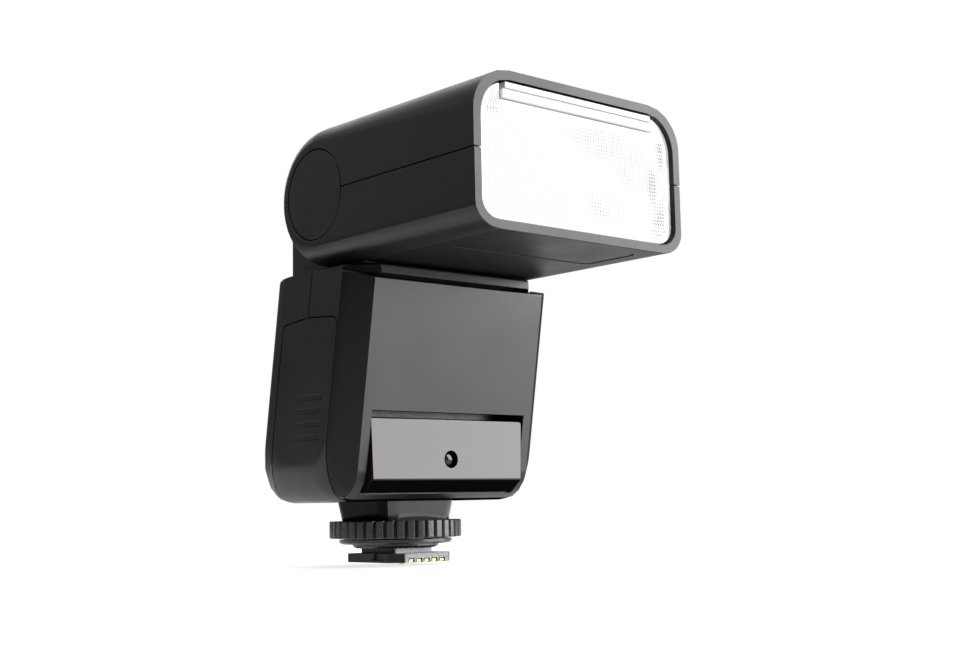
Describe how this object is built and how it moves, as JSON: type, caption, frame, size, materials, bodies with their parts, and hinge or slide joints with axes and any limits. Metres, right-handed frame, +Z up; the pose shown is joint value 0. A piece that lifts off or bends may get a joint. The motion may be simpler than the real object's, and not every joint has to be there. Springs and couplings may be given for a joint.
{
  "type": "camera flash",
  "caption": "Hot-shoe camera flash with tilting and turning head, clear front lens, pull-out panels, side battery door, infrared window, rear screen and keys, and a ring-locked shoe foot.",
  "frame": {"origin": "the point where the lock ring's axis meets the underside of the foot plate", "axes": "+Z is up out of the camera's shoe, the head fires along -Y at rest, and +X is the right-hand side as seen from behind the camera"},
  "size_m": [0.0621, 0.0854, 0.1022],
  "materials": {
    "shell": "satin black glass-filled plastic, fine spark texture",
    "key": "soft black rubber keys and flaps",
    "foot": "hard black engineering plastic",
    "window": "polished smoked infrared window",
    "screen": "polished smoked screen pane",
    "display": "display module with a pale reflective face",
    "lens": "clear moulded acrylic with fine prisms",
    "mirror": "polished aluminium sheet",
    "steel": "plain bright steel",
    "gold": "gold-plated contact metal",
    "board": "green circuit board",
    "white": "white translucent plastic",
    "cell": "printed steel cell jacket without lettering",
    "sleeve": "shrunk plastic sleeve",
    "bulb": "clear quartz tube"
  },
  "bodies": {
    "body": {"front_housing": "shell", "rear_cover": "shell", "front_window": "window", "sensor_bead": "window", "window_board": "board", "assist_lamp": "lens", "swivel_deck": "shell", "screen_pane": "screen", "display_module": "display", "control_board": "board", "battery_bay": "foot", "battery_cell_lower": "cell", "battery_cell_upper": "cell", "contact_spring_lower": "steel", "contact_spring_upper": "steel", "main_capacitor": "sleeve", "boost_transformer": "sleeve", "port_socket": "steel", "pedestal": "shell", "pedestal_screw_1": "steel", "pedestal_screw_2": "steel", "foot_plate": "foot", "contact_strip": "gold"},
    "swivel": {"swivel_knuckle": "shell", "swivel_retainer": "foot", "tilt_axle": "steel"},
    "head": {"head_upper_shell": "shell", "head_lower_shell": "shell", "fresnel_lens": "lens", "panel_tray": "shell", "underside_plate": "key", "hinge_cap_left": "shell", "hinge_cap_right": "shell", "zoom_rod_left": "steel", "zoom_rod_right": "steel", "zoom_motor": "steel", "trigger_coil": "sleeve"},
    "zoom_carrier": {"zoom_carriage": "foot", "reflector": "mirror", "flash_tube": "bulb"},
    "zoom_leadscrew": {"zoom_screw": "steel"},
    "diffuser": {"wide_panel": "lens"},
    "card": {"bounce_card": "white"},
    "door_rail": {"door_slide_strip": "steel"},
    "door": {"battery_door": "shell", "door_contact": "steel"},
    "clamp": {"clamp_disc": "foot", "lock_pin": "steel"},
    "ring": {"lock_ring": "foot"},
    "hot_shoe_pin": {"sync_pin": "gold"},
    "key_1": {"function_key_1": "key"},
    "key_2": {"function_key_2": "key"},
    "key_3": {"function_key_3": "key"},
    "key_4": {"function_key_4": "key"},
    "dial": {"control_dial": "key"},
    "set_key": {"set_button": "key"},
    "test_key": {"test_button": "white"},
    "switch": {"power_switch": "key"},
    "port_flap": {"port_cover": "key"}
  },
  "joints": [
    {"name": "head_swivel", "type": "hinge", "parent": "body", "child": "swivel", "pos_m": [0, -0.0082, 0.0677], "axis": [0, 0, 1], "range_deg": [-90, 180]},
    {"name": "head_tilt", "type": "hinge", "parent": "swivel", "child": "head", "pos_m": [0, -0.0112, 0.08424], "axis": [-1, 0, 0], "range_deg": [0, 90]},
    {"name": "zoom_travel", "type": "slide", "parent": "head", "child": "zoom_carrier", "axis": [0, 1, 0], "range_m": [0, 0.012]},
    {"name": "zoom_screw_turn", "type": "hinge", "parent": "head", "child": "zoom_leadscrew", "pos_m": [-0.016, -0.0342, 0.073], "axis": [0, 1, 0], "range_deg": [0, 1441]},
    {"name": "wide_panel_pull", "type": "slide", "parent": "head", "child": "diffuser", "axis": [0, -1, 0], "range_m": [0, 0.028]},
    {"name": "bounce_card_pull", "type": "slide", "parent": "head", "child": "card", "axis": [0, -1, 0], "range_m": [0, 0.028]},
    {"name": "door_slide", "type": "slide", "parent": "body", "child": "door_rail", "axis": [0, 0.1681, -0.9858], "range_m": [0, 0.003]},
    {"name": "door_swing", "type": "hinge", "parent": "door_rail", "child": "door", "pos_m": [-0.0308, 0.00528, 0.035], "axis": [0, 0.1681, -0.9858], "range_deg": [0, 100]},
    {"name": "ring_turn", "type": "hinge", "parent": "clamp", "child": "ring", "pos_m": [0, 0, 0.0077], "axis": [0, 0, 1], "range_deg": [0, 270]},
    {"name": "clamp_drop", "type": "slide", "parent": "body", "child": "clamp", "axis": [0, 0, -1], "range_m": [0, 0.001]},
    {"name": "sync_pin_press", "type": "slide", "parent": "body", "child": "hot_shoe_pin", "axis": [0, 0, 1], "range_m": [0, 0.0006], "stiffness_N_per_m": 150},
    {"name": "function_key_1_press", "type": "slide", "parent": "body", "child": "key_1", "axis": [0, -0.9858, -0.1681], "range_m": [0, 0.0005], "stiffness_N_per_m": 200},
    {"name": "function_key_2_press", "type": "slide", "parent": "body", "child": "key_2", "axis": [0, -0.9858, -0.1681], "range_m": [0, 0.0005], "stiffness_N_per_m": 200},
    {"name": "function_key_3_press", "type": "slide", "parent": "body", "child": "key_3", "axis": [0, -0.9858, -0.1681], "range_m": [0, 0.0005], "stiffness_N_per_m": 200},
    {"name": "function_key_4_press", "type": "slide", "parent": "body", "child": "key_4", "axis": [0, -0.9858, -0.1681], "range_m": [0, 0.0005], "stiffness_N_per_m": 200},
    {"name": "set_button_press", "type": "slide", "parent": "body", "child": "set_key", "axis": [0, -0.9858, -0.1681], "range_m": [0, 0.0005], "stiffness_N_per_m": 200},
    {"name": "test_button_press", "type": "slide", "parent": "body", "child": "test_key", "axis": [0, -0.9858, -0.1681], "range_m": [0, 0.0005], "stiffness_N_per_m": 200},
    {"name": "dial_turn", "type": "hinge", "parent": "body", "child": "dial", "pos_m": [-0.0115, 0.0155, 0.02699], "axis": [0, 0.9858, 0.1681], "continuous": true},
    {"name": "power_switch_slide", "type": "slide", "parent": "body", "child": "switch", "axis": [1, 0, 0], "range_m": [0, 0.003]},
    {"name": "port_flap_swing", "type": "hinge", "parent": "body", "child": "port_flap", "pos_m": [0.03105, 0.00193, 0.028], "axis": [0, 0.1681, -0.9858], "range_deg": [0, 100]}
  ],
  "couplings": [
    {"joint": "zoom_screw_turn", "follows": "zoom_travel", "rad_per_m": 2094.4},
    {"joint": "ring_turn", "follows": "clamp_drop", "rad_per_m": 4712.4}
  ]
}
